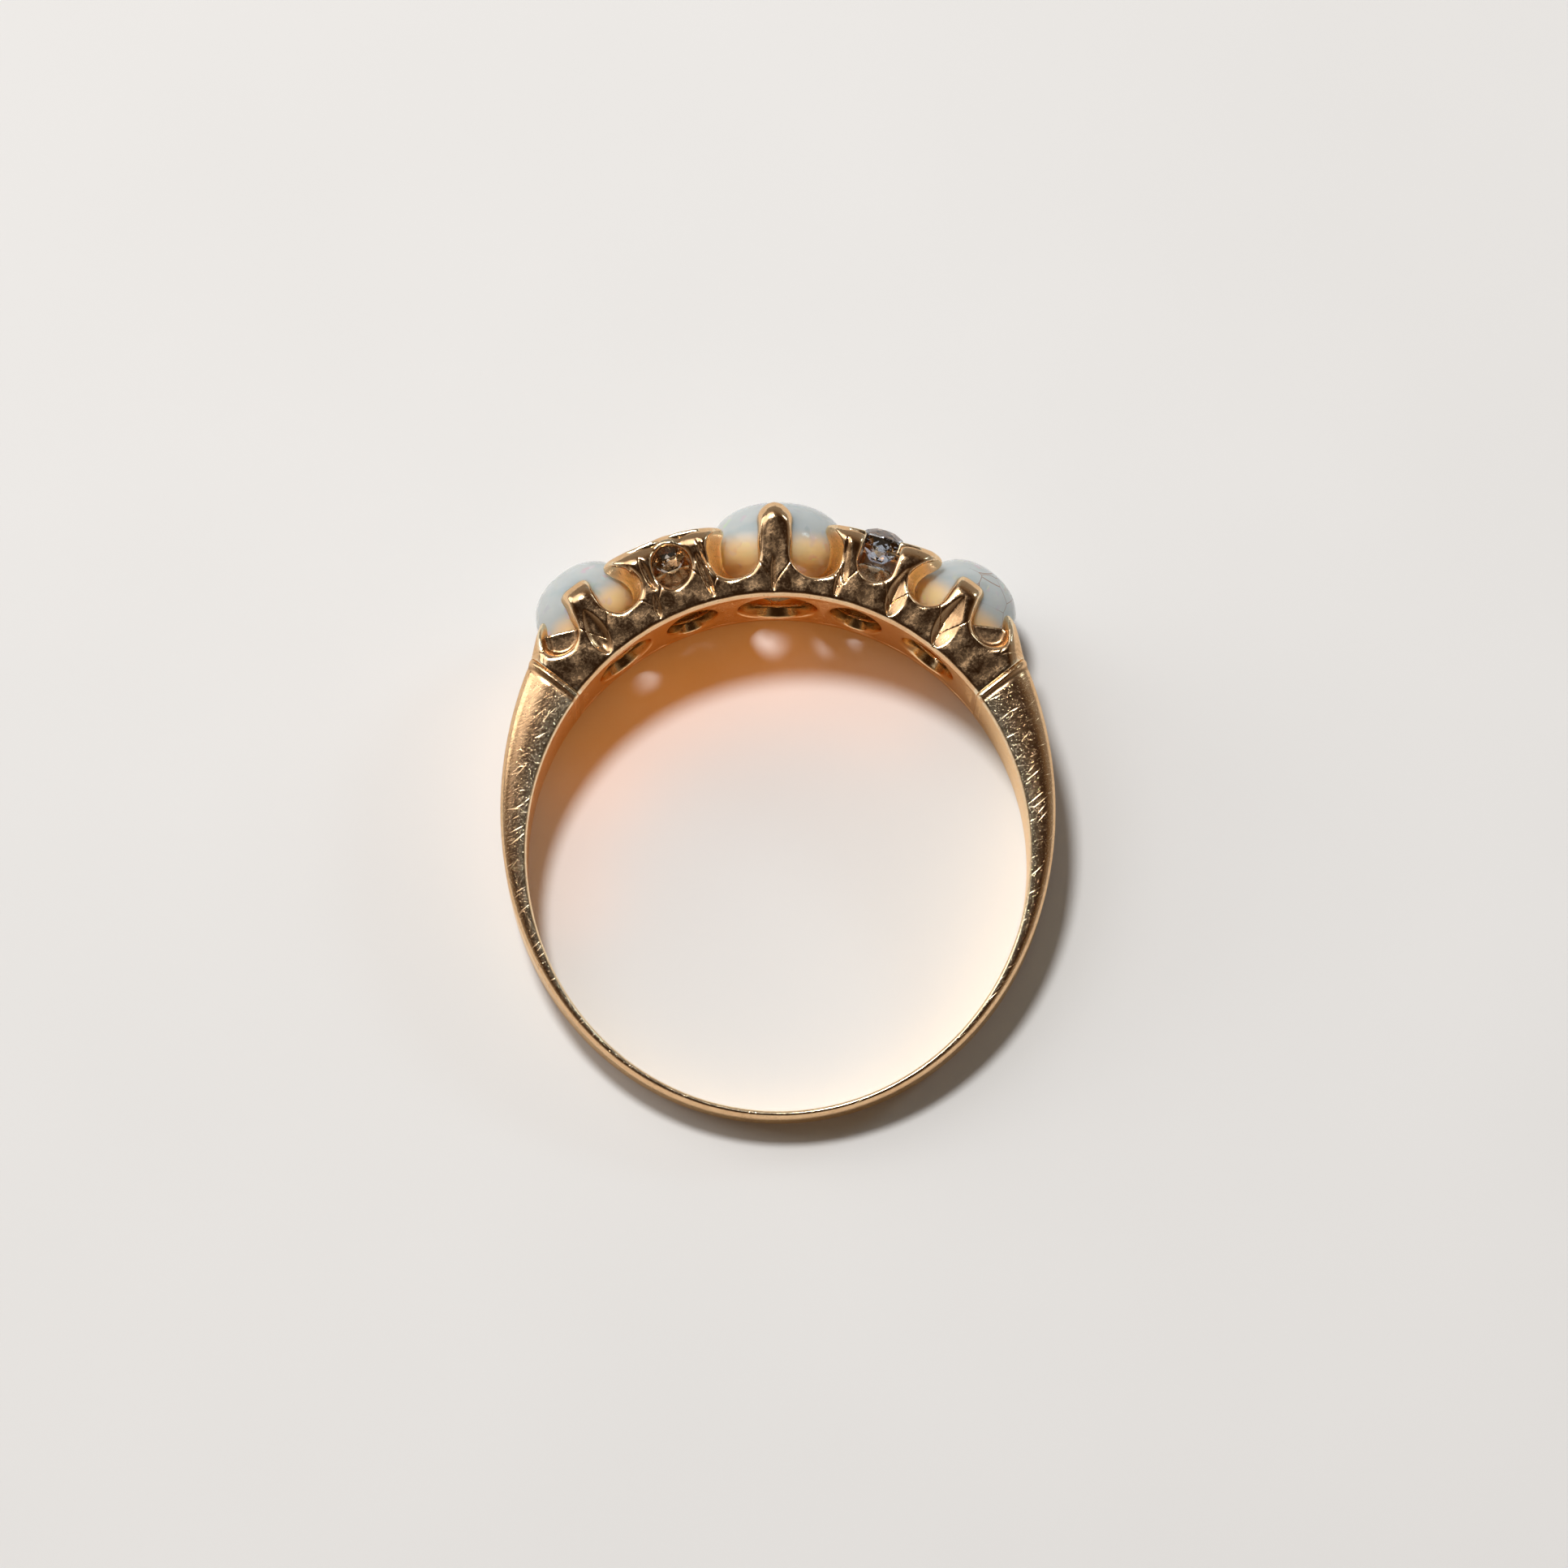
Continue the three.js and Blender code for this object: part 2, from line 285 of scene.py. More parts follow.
# ---- materials ----
class Finish:
    """A procedural material under construction: a Principled shader and what feeds it."""

    def __init__(self, name):
        self.material = bpy.data.materials.new(name)
        self.material.use_nodes = True
        self.tree = self.material.node_tree
        self.shader = self.tree.nodes["Principled BSDF"]
        self.place = self.tree.nodes.new("ShaderNodeTexCoord").outputs["Object"]

    def set(self, **values):
        for key, value in values.items():
            self.shader.inputs[key.replace("_", " ")].default_value = value
        return self

    def feed(self, key, value):
        self.tree.links.new(getattr(value, "socket", value), self.shader.inputs[key])

    def number(self, attribute):
        """An attribute of the piece's own mesh as a formula."""
        node = self.tree.nodes.new("ShaderNodeAttribute")
        node.attribute_name = attribute
        return Formula(self.tree, node.outputs["Fac"])

    def stretched(self, per_mm, turn):
        """The piece's own coordinates, turned by degrees, then so many steps to a millimetre."""
        turned = self.tree.nodes.new("ShaderNodeMapping")
        turned.inputs["Rotation"].default_value = [math.radians(t) for t in turn]
        node = self.tree.nodes.new("ShaderNodeMapping")
        node.inputs["Scale"].default_value = [s / MM for s in per_mm]
        self.tree.links.new(self.place, turned.inputs["Vector"])
        self.tree.links.new(turned.outputs[0], node.inputs["Vector"])
        return node.outputs[0]

    def noise(self, per_mm, detail=3, rough=0.5, turn=(0, 0, 0)):
        """Cloudy noise with so many spots to a millimetre along each axis."""
        node = self.tree.nodes.new("ShaderNodeTexNoise")
        node.inputs["Scale"].default_value = 1
        node.inputs["Detail"].default_value = detail
        node.inputs["Roughness"].default_value = rough
        self.tree.links.new(self.stretched(per_mm, turn), node.inputs["Vector"])
        return Formula(self.tree, node.outputs["Fac"])

    def scattered(self, per_mm, feature="F1", turn=(0, 0, 0)):
        """Scattered points, so many to a millimetre along each axis: their texture node."""
        node = self.tree.nodes.new("ShaderNodeTexVoronoi")
        node.feature = feature
        node.inputs["Scale"].default_value = 1
        self.tree.links.new(self.stretched(per_mm, turn), node.inputs["Vector"])
        return node

    def cells(self, per_mm, feature="F1", turn=(0, 0, 0)):
        """Distance from the scattered points, or from the edges between them."""
        return Formula(self.tree, self.scattered(per_mm, feature, turn).outputs["Distance"])

    def patches(self, per_mm):
        """A random colour round each scattered point."""
        return self.scattered(per_mm).outputs["Color"]

    def painted_bore_reflection(self):
        """One where a warm reflection is painted: on the wall of the finger hole, below its bevelled rim, and
        inside its openings.
        """
        x, across, up = (part / MM for part in parts_of(self.tree, self.place))
        across = across - SHIFT
        up = up - LIFT
        y = across * math.cos(LEAN) + up * math.sin(LEAN)
        w = up * math.cos(LEAN) - across * math.sin(LEAN)
        outside = ((x / BORE_X) ** 2.0 + (y / BORE_Y) ** 2.0).sqrt()
        past_edge = w.size() - y * math.tan(LEAN) - HALF_WIDTH
        wall = outside.ramp(1.003, 1.010, 1.0, 0.0) * past_edge.ramp(-0.25, -0.20, 1.0, 0.0)
        rail = outside.ramp(1.06, 1.10, 1.0, 0.0) * past_edge.ramp(-0.48, -0.40, 1.0, 0.0)
        return wall.high(rail)

    def relief(self, height, depth):
        """Bump from a height between 0 and 1, of that depth in millimetres."""
        node = self.tree.nodes.new("ShaderNodeBump")
        node.inputs["Strength"].default_value = 1
        node.inputs["Distance"].default_value = depth * MM
        self.tree.links.new(height.socket, node.inputs["Height"])
        self.tree.links.new(node.outputs[0], self.shader.inputs["Normal"])


# Colours are linear. The numbers of a ramp are where its noise or distance starts and ends to count.
GOLD_DULL = (0.80, 0.48, 0.245)
GOLD_CLEAN = (0.92, 0.66, 0.40)
GOLD_WORN = (0.98, 0.83, 0.58)  # edges that wear keeps bright
GOLD_STAIN = (0.42, 0.23, 0.105)
GOLD_GRIME_AND_SHADE = (0.24, 0.125, 0.055)  # grime and painted shade, in the recesses
GOLD_PIT = (0.12, 0.065, 0.035)
# Painted reflection of the golden floor inside the hoop, on the finger hole's wall and in its openings.
BORE_PAINTED_REFLECTION = (0.95, 0.70, 0.40)
GLANCE = (0.95, 0.84, 0.70)  # gold seen at a low angle
# The same painted reflection, for the hole's wall seen at a low angle.
GLANCE_BORE_PAINTED_REFLECTION = (0.95, 0.78, 0.55)
RELIEF_DEPTH = 0.014

# Directions of the scratches round the finger's direction, in degrees, and how deep each set is.
SCRATCHES = [(50, 1.0), (41, 0.8), (63, 0.7), (-34, 0.5), (84, 0.5), (12, 0.4)]
SCRATCH_ACROSS = 10  # scratches to a millimetre, side by side
SCRATCH_ALONG = 0.40  # and end to end, for the longest set
SCRATCH_SHORTER = 0.08  # each further set is this much closer, end to end
SCRATCH_INWARDS = 1.5  # and into the metal
BRUSH_TURN = 62  # direction of the fine brushing


def scratch_lines(gold, cloud):
    """Fine straight scratches in every direction of the list, more of them where the cloud is high."""
    lines = None
    for number, (turn, share) in enumerate(SCRATCHES):
        along = SCRATCH_ALONG + SCRATCH_SHORTER * number
        marks = gold.cells((SCRATCH_ACROSS, along, SCRATCH_INWARDS), turn=(0, 0, turn))
        mark = marks.ramp(0.05, 0.20, share, 0.0)
        lines = mark if lines is None else lines.high(mark)
    return lines * (cloud.ramp(0.36, 0.60) * 0.6 + 0.4)


def scratched_gold(name, scratches, polish, pitting):
    """Old gold: bright where it wears, brown in the recesses with grime and painted shade, scratched and
    pitted, and with a painted warm reflection on the finger hole's wall.
    """
    gold = Finish(name).set(Metallic=1.0)
    wear_and_shade = gold.number("wear_and_shade")
    painted_bore_reflection = gold.painted_bore_reflection()

    cloud = gold.noise((0.9, 0.9, 0.9), detail=4)
    grain = gold.noise((12, 12, 12), detail=4, rough=0.7)
    blotch = gold.noise((4.5, 4.5, 4.5), detail=5, rough=0.7)
    lines = scratch_lines(gold, cloud)
    specks = gold.noise((22, 22, 22), detail=1).ramp(0.62, 0.70)
    brushed = gold.noise((14, 1.4, 4), detail=3, turn=(0, 0, BRUSH_TURN))
    pitted_places = gold.noise((3.0, 3.0, 3.0)).ramp(0.5, 0.6)
    pits = gold.cells((9, 9, 9)).ramp(0.08, 0.26, 1.0, 0.0) * pitted_places
    # Little wear marks the recesses, which take grime and painted shade.
    recess_grime_and_shade = wear_and_shade.ramp(0.36, 0.60, 1.0, 0.0)
    stain = (blotch * 0.6 + grain * 0.4).ramp(0.44, 0.60)

    tone = cloud.blend(GOLD_DULL, GOLD_CLEAN)
    bright = wear_and_shade.ramp(0.62, 0.72).blend(tone, GOLD_WORN)
    stained = (stain * (0.10 + pitting)).blend(bright, GOLD_STAIN)
    # Grime and painted shade darken the recesses.
    shaded = (recess_grime_and_shade * (cloud * 0.6 + 0.35)).blend(stained, GOLD_GRIME_AND_SHADE)
    # Painted reflection of the golden floor on the finger hole's wall and in its openings.
    inside = painted_bore_reflection.blend(shaded, BORE_PAINTED_REFLECTION)
    gold.feed("Base Color", (pits * 0.7).blend(inside, GOLD_PIT))
    gold.feed("Specular Tint", painted_bore_reflection.blend(GLANCE, GLANCE_BORE_PAINTED_REFLECTION))
    gold.feed("Roughness", recess_grime_and_shade * 0.14 + stain * 0.08 + grain * 0.10 + lines * 0.24 * scratches + polish)
    raised = grain * pitting + brushed * scratches * 0.35 + specks * pitting * 0.8 + 0.5
    sunk = lines * scratches * 0.6 + pits * pitting * 2.0
    gold.relief(raised - sunk, RELIEF_DEPTH)
    return gold.material


MILK_BLUE = (0.40, 0.455, 0.47)
MILK_PALE = (0.56, 0.59, 0.585)
MILK_DEEP = (0.36, 0.46, 0.49)  # in the layers
OPAL_PAINTED_GOLD_REFLECTION = (1.0, 0.68, 0.36)  # painted reflection of the gold behind it, at the foot
OPAL_CRACK = (0.30, 0.18, 0.12)
OPAL_RELIEF = 0.004


def milky_opal(name, crazing):
    """Milky blue-grey opal: a painted tan reflection of the gold towards its foot, with faint colour inside.
    """
    opal = Finish(name).set(Roughness=0.12, IOR=1.45, Subsurface_Weight=0.9, Subsurface_Scale=2.0 * MM)
    opal.shader.subsurface_method = "RANDOM_WALK"
    opal.shader.inputs["Subsurface Radius"].default_value = (0.9, 0.75, 0.6)
    height = opal.number("height")
    cloud = opal.noise((0.8, 0.8, 0.8))
    streaks = opal.noise((0.5, 3.0, 0.7))

    milk = cloud.blend(MILK_BLUE, MILK_PALE)
    layered = streaks.ramp(0.52, 0.7, 0.0, 0.35).blend(milk, MILK_DEEP)
    # Painted reflection of the gold behind the stone, strongest low on its foot.
    body = (height + cloud * 0.25).ramp(0.60, -0.15).blend(layered, OPAL_PAINTED_GOLD_REFLECTION)
    fleck = opal.noise((1.9, 1.9, 1.9), detail=1).ramp(0.58, 0.72, 0.0, 0.16)
    fired = fleck.blend(body, opal.patches((2.6, 2.6, 2.6)))
    edge = opal.cells((1.1, 1.1, 1.1), "DISTANCE_TO_EDGE", turn=(20, 35, 50))
    cracked_places = opal.noise((0.45, 0.45, 0.45), detail=1).ramp(0.50, 0.60)
    crack = edge.ramp(0.004, 0.018, crazing, 0.0) * cracked_places
    opal.feed("Base Color", crack.blend(fired, OPAL_CRACK))
    opal.relief(opal.noise((3, 3, 3)) * 0.4 - crack, OPAL_RELIEF)
    return opal.material


def old_diamond(name, tint):
    """Old-cut diamond, a little tinted, with a trace of dirt on the facets."""
    stone = Finish(name).set(Transmission_Weight=1.0, IOR=2.42)
    film = stone.noise((2.4, 2.4, 2.4))
    stone.feed("Base Color", film.blend(tint, tuple(0.8 * t for t in tint)))
    stone.feed("Roughness", film.ramp(0.55, 0.75, 0.0, 0.12))
    return stone.material


GOLD_SHANK = scratched_gold("gold_shank", scratches=0.60, polish=0.12, pitting=0.15)
GOLD_HEAD = scratched_gold("gold_head", scratches=0.10, polish=0.07, pitting=0.035)
OPAL = milky_opal("opal_milky", crazing=0.0)
OPAL_CRAZED = milky_opal("opal_crazed", crazing=0.9)
DIAMOND_BLUE = old_diamond("diamond_steel", (0.50, 0.56, 0.66))
DIAMOND_BROWN = old_diamond("diamond_smoky", (0.66, 0.60, 0.54))


# ---- shank ----
SHANK_ROWS = 900  # sections around the hoop
SHANK_RING = 65  # points around a section
SHANK_SIZES = {
    "Bore Across": BORE_X,
    "Bore Up": BORE_Y,
    "Half Width": HALF_WIDTH,
    "Lean": LEAN,
    "Seam Angle": math.radians(SEAM),
    "Back Thickness": BACK_THICKNESS,
    "Seam Thickness": SEAM_THICKNESS,
    "Taper": TAPER,
    "Back Dome": 0.6,
    "Shift": SHIFT,
}
INNER_RADIUS = 0.11  # rounding of the edges against the finger, outwards
INNER_DROP = 0.20  # and along the finger
OUTER_ROLL = 0.56  # share of the thickness that rolls over to the outside, outwards
OUTER_DROP = 0.30  # and along the finger
LEAST_DROP = 0.02
SEAM_RIDGE = 0.05  # height of the solder seam's ridge, with a groove beside it
RIDGE_PLACE, RIDGE_SPREAD = 0.10, 0.06
GROOVE_PLACE, GROOVE_SPREAD, GROOVE_SHARE = 0.26, 0.05, 0.4
HAND_WAVE = 0.012  # how uneven the filed side faces are
OUTER_WEAR, INNER_WEAR = 0.62, 0.10  # wear of the outside, and how much more on the edges inside
GRIME_PLACE, GRIME_SPREAD, GRIME_SHARE = 0.24, 0.06, 0.25  # along the seam, where nothing rubs


def shank_section(size, angle, rise, turn, from_seam):
    """What one point of the section needs: the distances of the section's centre and of the point
    from the hoop's middle, how far its edge rolls down, the seam's ridge, one on the outer half and
    nothing on the inner, and the distance from the seam."""
    bore = ((angle.sin() / size["Bore Across"]) ** 2.0 + (angle.cos() / size["Bore Up"]) ** 2.0) ** -0.5
    from_seam = from_seam * bore
    thick = size["Back Thickness"] + (size["Seam Thickness"] - size["Back Thickness"]) * rise ** size["Taper"]
    ridge = from_seam.bell(RIDGE_PLACE, RIDGE_SPREAD) * SEAM_RIDGE
    ridge = ridge + from_seam.bell(GROOVE_PLACE, GROOVE_SPREAD) * (-GROOVE_SHARE * SEAM_RIDGE)
    outer = turn.cos().over(0.0)
    roll_across = outer * (thick * OUTER_ROLL - INNER_RADIUS) + INNER_RADIUS
    worn = (1.0 - rise) * (1.0 - rise) * size["Back Dome"]
    roll_down = outer * (thick * OUTER_DROP + worn + LEAST_DROP - INNER_DROP) + INNER_DROP
    middle = outer * (thick - roll_across - INNER_RADIUS) + INNER_RADIUS
    out = bore + middle + roll_across * turn.cos() + ridge * outer * 0.5
    return bore + thick * 0.5, out, roll_down, ridge, outer, from_seam


def shank_tree():
    """A rounded section swept round the hoop: flat sides that roll over to a domed outside."""
    tree, size = geometry_tree("shank_sweep", SHANK_SIZES)
    grid = tree.nodes.new("GeometryNodeMeshGrid")
    for key, value in (("Size X", 1), ("Size Y", 1), ("Vertices X", SHANK_ROWS), ("Vertices Y", SHANK_RING)):
        grid.inputs[key].default_value = value
    place = tree.nodes.new("GeometryNodeInputPosition")
    first, second, _ = parts_of(tree, place.outputs[0])
    row = (first + 0.5) * (SHANK_ROWS - 1)
    turn = (second + 0.5) * (2 * math.pi)

    # The first and last rows shrink to a point, which closes the ends.
    open_end = row.clipped() * ((SHANK_ROWS - 1) - row).clipped()
    along = ((row - 1.0) / (SHANK_ROWS - 3)).clipped()
    angle = size["Seam Angle"] + along * (2 * math.pi - size["Seam Angle"] * 2.0)
    rise = (angle - math.pi).size() / (math.pi - size["Seam Angle"])
    from_seam = (1.0 - rise) * (math.pi - size["Seam Angle"])
    centre, out, roll_down, ridge, outer, from_seam = shank_section(size, angle, rise, turn, from_seam)

    radius = centre + (out - centre) * open_end
    x = radius * angle.sin()
    y = radius * angle.cos()
    wave = (angle * 7.0).sin() * (angle * 3.0 + 1.0).sin() * HAND_WAVE
    half = size["Half Width"] + y * size["Lean"].math("TANGENT") + ridge + wave - HAND_WAVE
    w = turn.sin().sign() * (half - roll_down + roll_down * turn.sin().size()) * open_end
    across = y * size["Lean"].cos() - w * size["Lean"].sin() + size["Shift"]
    up = y * size["Lean"].sin() + w * size["Lean"].cos() + size["Half Width"] * size["Lean"].cos()

    join = tree.nodes.new("ShaderNodeCombineXYZ")
    for slot, value in zip(join.inputs, (x, across, up)):
        tree.links.new((value * MM).socket, slot)
    store = tree.nodes.new("GeometryNodeStoreNamedAttribute")
    store.data_type = "FLOAT"
    store.domain = "POINT"
    store.inputs["Name"].default_value = "wear_and_shade"
    wear_and_shade = (1.0 - outer) * INNER_WEAR + OUTER_WEAR - from_seam.bell(GRIME_PLACE, GRIME_SPREAD) * GRIME_SHARE
    move = tree.nodes.new("GeometryNodeSetPosition")
    weld = tree.nodes.new("GeometryNodeMergeByDistance")
    weld.inputs["Distance"].default_value = 0.0005 * MM
    tree.links.new(grid.outputs["Mesh"], store.inputs["Geometry"])
    tree.links.new(wear_and_shade.socket, store.inputs["Value"])
    tree.links.new(store.outputs[0], move.inputs["Geometry"])
    tree.links.new(join.outputs[0], move.inputs["Position"])
    tree.links.new(move.outputs[0], weld.inputs["Geometry"])
    end_tree(tree, weld.outputs[0], GOLD_SHANK)
    return tree


def make_shank():
    piece = outward(grown("shank_worn", shank_tree(), SHANK_SIZES))
    piece.data.polygons.foreach_set("use_smooth", [True] * len(piece.data.polygons))
    finish_piece(piece, "gold", "shank")


# ---- carved pieces: a solid given by a signed distance on a grid, turned into a mesh ----
CELL = 0.045  # grid step
OVERLAP = 0.05  # how far neighbouring carved pieces reach into each other, as soldered pieces do
SINK = 0.03  # how far the reaching part dips under its neighbour's surface


def soft_max(a, b, blend):
    """The larger of two distances, with the edge between them rounded over this length."""
    return np.maximum(a, b) + np.maximum(blend - np.abs(a - b), 0) ** 2 / (4 * blend)


def ease(low, high, value):
    """Nothing below low and one above high, with a smooth step between."""
    t = np.clip((value - low) / (high - low), 0, 1)
    return t * t * (3 - 2 * t)


def solid_share(field, reach):
    """The share of solid within a box of this many cells each way."""
    solid = (field < 0).astype(np.float32)
    for axis in range(3):
        first = [np.take(solid, [0], axis)] * (reach + 1)
        last = [np.take(solid, [-1], axis)] * reach
        total = np.cumsum(np.concatenate(first + [solid] + last, axis), axis)
        count = solid.shape[axis]
        high = np.take(total, range(2 * reach + 1, 2 * reach + 1 + count), axis)
        low = np.take(total, range(count), axis)
        solid = (high - low) / (2 * reach + 1)
    return solid


def edge_crossings(field, axis):
    """Where the surface crosses the grid's edges along an axis, and how far along each edge."""
    first = [slice(None)] * 3
    second = [slice(None)] * 3
    first[axis] = slice(None, -1)
    second[axis] = slice(1, None)
    a, b = field[tuple(first)], field[tuple(second)]
    crossed = (a < 0) != (b < 0)
    return crossed, np.where(crossed, a / np.where(crossed, a - b, 1), 0)


def net_points(field, crossings):
    """A point for each cell that the surface passes through, and each cell's number."""
    cells = tuple(np.array(field.shape) - 1)
    total = np.zeros((*cells, 3), np.float32)
    count = np.zeros(cells, np.float32)
    for axis, (crossed, part) in enumerate(crossings):
        others = [k for k in range(3) if k != axis]
        for step in ((0, 0), (0, 1), (1, 0), (1, 1)):
            window = [slice(None)] * 3
            for k, s in zip(others, step):
                window[k] = slice(s, s + cells[k])
            hit = crossed[tuple(window)]
            count += hit
            total[..., axis] += np.where(hit, part[tuple(window)], 0)
            for k, s in zip(others, step):
                total[..., k] += hit * s
    used = count > 0
    number = np.full(cells, -1)
    number[used] = np.arange(used.sum())
    return np.argwhere(used) + total[used] / count[used][:, None], number


def net_quads(inside, crossed, axis, number):
    """A quad across each crossed edge along an axis, facing out."""
    found = np.argwhere(crossed)
    b, c = [(1, 2), (2, 0), (0, 1)][axis]
    shape = inside.shape
    keep = (found[:, b] > 0) & (found[:, c] > 0) & (found[:, b] < shape[b] - 1) & (found[:, c] < shape[c] - 1)
    found = found[keep]
    corners = []
    for db, dc in ((-1, -1), (0, -1), (0, 0), (-1, 0)):
        cell = found.copy()
        cell[:, b] += db
        cell[:, c] += dc
        corners.append(number[tuple(cell.T)])
    quads = np.stack(corners, 1)
    turned = ~inside[tuple(found.T)]
    quads[turned] = quads[turned][:, ::-1]
    return quads


def net(field):
    """Surface net of a field, negative inside: points in grid steps, and quads facing out."""
    crossings = [edge_crossings(field, axis) for axis in range(3)]
    points, number = net_points(field, crossings)
    quads = [net_quads(field < 0, crossings[axis][0], axis, number) for axis in range(3)]
    return points, np.concatenate(quads)


def sample(values, points):
    """Values of a grid at points given in grid steps, by the nearest corner."""
    index = np.clip(np.rint(points).astype(int), 0, np.array(values.shape) - 1)
    return values[tuple(index.T)]


class Block:
    """A grid over part of the head: angle, radius, and a third length along the finger."""

    def __init__(self, angles, radii, lengths, turn_radius):
        self.theta = np.arange(*angles, math.degrees(CELL / turn_radius))
        self.radius = np.arange(*radii, CELL)
        self.length = np.arange(*lengths, CELL)

    def coordinates(self):
        """Angle, radius and length at every corner of the grid."""
        theta, radius, length = (axis.astype(np.float32) for axis in (self.theta, self.radius, self.length))
        return theta[:, None, None], radius[None, :, None], length[None, None, :]

    def located(self, points, first=0):
        """x, y and the third length of points in grid steps, counted from a first angle."""
        angle = np.radians(self.theta[first] + points[:, 0] * (self.theta[1] - self.theta[0]))
        r = self.radius[0] + points[:, 1] * CELL
        return r * np.sin(angle), r * np.cos(angle), self.length[0] + points[:, 2] * CELL


def make_carved(name, node, block, field, reach):
    """A gold piece from a whole field, whose third length is the distance along the finger."""
    points, quads = net(field)
    # Open edges wear bright; recesses, with much solid round them, get grime and painted shade.
    wear_and_shade = 1.0 - sample(solid_share(field, reach), points)
    piece = put(name, np.stack(block.located(points), 1), quads.tolist(), GOLD_HEAD, "wear_and_shade", wear_and_shade)
    finish_piece(outward(piece), "gold", node)


# ---- head: the scalloped walls and their claws ----
HEAD_END = SEAM - 0.05
HEAD_MARGIN = 0.8  # degrees of grid beyond the head at each end
CENTRE_TOP = 11.84
TALL = 1.13  # how much taller than wide the closed opening is
BOWL_DEPTH = 0.55  # depth of the scoops at the head's ends
SLOT_RADIUS = 10.4  # where the slots' widths are measured
FLOOR_SLOPE = 0.10  # how far a slot's floor rises through the wall
SLOT_CLOSING = (10.3, 11.35)  # heights between which the slots close in

# Slots cut down between the claws, by hand, so no two are quite alike: where they start and end in
# degrees, their lowest point, how much each side slopes in along the finger, how much each side
# closes in towards the top, and whether the top is closed. A bowl keeps a thin wall behind it, with
# a top edge that runs between two heights.
SLOTS = [
    dict(start=-50.0, end=-41.0, floor=9.78, slope=(0.50, 0.20), close=(0.45, -0.32), bowl=(11.1, 10.1)),
    dict(start=-35.8, end=-26.6, floor=9.62, slope=(0.15, 0.52), close=(0.0, 0.40)),
    dict(start=-24.2, end=-16.8, floor=9.56, slope=(0.08, 0.08), close=(0.0, 0.0), closed=True),
    dict(start=-13.9, end=-3.6, floor=9.34, slope=(0.62, 0.10), close=(0.20, -0.16)),
    dict(start=2.4, end=12.8, floor=9.34, slope=(0.10, 0.58), close=(-0.12, 0.26)),
    dict(start=15.3, end=22.4, floor=9.68, slope=(0.08, 0.08), close=(0.0, 0.0)),
    dict(start=25.0, end=33.8, floor=9.66, slope=(0.45, 0.18), close=(0.38, -0.09)),
    dict(start=39.0, end=48.2, floor=9.86, slope=(0.20, 0.45), close=(-0.31, 0.45), bowl=(10.0, 11.2)),
]
# Height of the top edge round the head, which is the claws' tips where there are claws: angle, height.
TIPS = np.array([
    (-52, 10.62), (-50, 10.80), (-46, 11.20), (-44, 11.38), (-42, 11.38), (-41.5, 11.42), (-35, 11.42),
    (-33, 11.46), (-30, 11.46), (-25, 11.42), (-20, 11.42), (-15, 11.36), (-9.5, 11.22), (-6, 11.30),
    (-4.0, 11.45), (-2.9, 11.68), (-1.8, CENTRE_TOP), (-0.6, 11.90), (0.6, CENTRE_TOP), (1.7, 11.68),
    (2.8, 11.45), (6, 11.30), (9, 11.32), (15, 11.33), (22, 11.36), (27, 11.5), (31, 11.46), (32, 11.36),
    (40, 11.33), (41, 11.36), (43.5, 11.33), (46, 11.18), (50, 10.78), (52, 10.62),
])
# Graver cuts below and between the claws: angle at the foot and at the head, heights where they
# start and end, half width, depth, and whether it is a scoop with a round bottom.
CUTS = [
    (-40.2, -38.8, 8.80, 10.50, 0.36, 0.15, True),
    (-26.7, -25.6, 8.84, 9.70, 0.14, 0.09, False),
    (-25.0, -25.4, 9.75, 11.00, 0.17, 0.13, False),
    (-27.3, -27.7, 10.05, 10.95, 0.10, 0.08, False),
    (-14.1, -15.5, 8.90, 10.55, 0.15, 0.11, True),
    (-13.0, -14.6, 9.60, 10.95, 0.13, 0.12, False),
    (-0.9, -0.8, 8.76, 10.10, 0.10, 0.08, False),
    (12.6, 12.9, 8.84, 10.05, 0.13, 0.09, False),
    (13.8, 12.6, 9.30, 11.00, 0.16, 0.13, False),
    (25.1, 24.9, 8.78, 10.55, 0.34, 0.18, False),
    (37.2, 36.2, 8.68, 10.70, 0.40, 0.20, False),
]
# Where each claw's own metal ends: angle, half width, and the height of its pointed foot.
CLAWS = {
    "end_left": (-48.6, 0.62, 9.9),
    "opal_left": (-38.5, 0.60, 9.0),
    "pair_left_outer": (-26.4, 0.72, 9.0),
    "pair_left_inner": (-13.8, 0.66, 9.0),
    "opal_centre": (-0.6, 0.66, 8.9),
    "pair_right_inner": (13.0, 0.66, 9.0),
    "pair_right_outer": (24.2, 0.70, 9.0),
    "opal_right": (36.4, 0.60, 9.0),
    "end_right": (48.4, 0.62, 9.9),
}
ROUNDED = 0.13  # how far the face of a claw falls away towards its edges, near the tip
TIP_FALL = 0.42  # how far the face leans in at the very tip
FACE_WAVE = 0.014  # how uneven the face is
V_LEAN = -0.35  # how far the bottom of a V cut lies to one side
BEVEL_FACING = (0.87, 0.5)  # how much the rim's bevel faces the hole, and how much the side
FAR = 9.0  # further than anything on the head


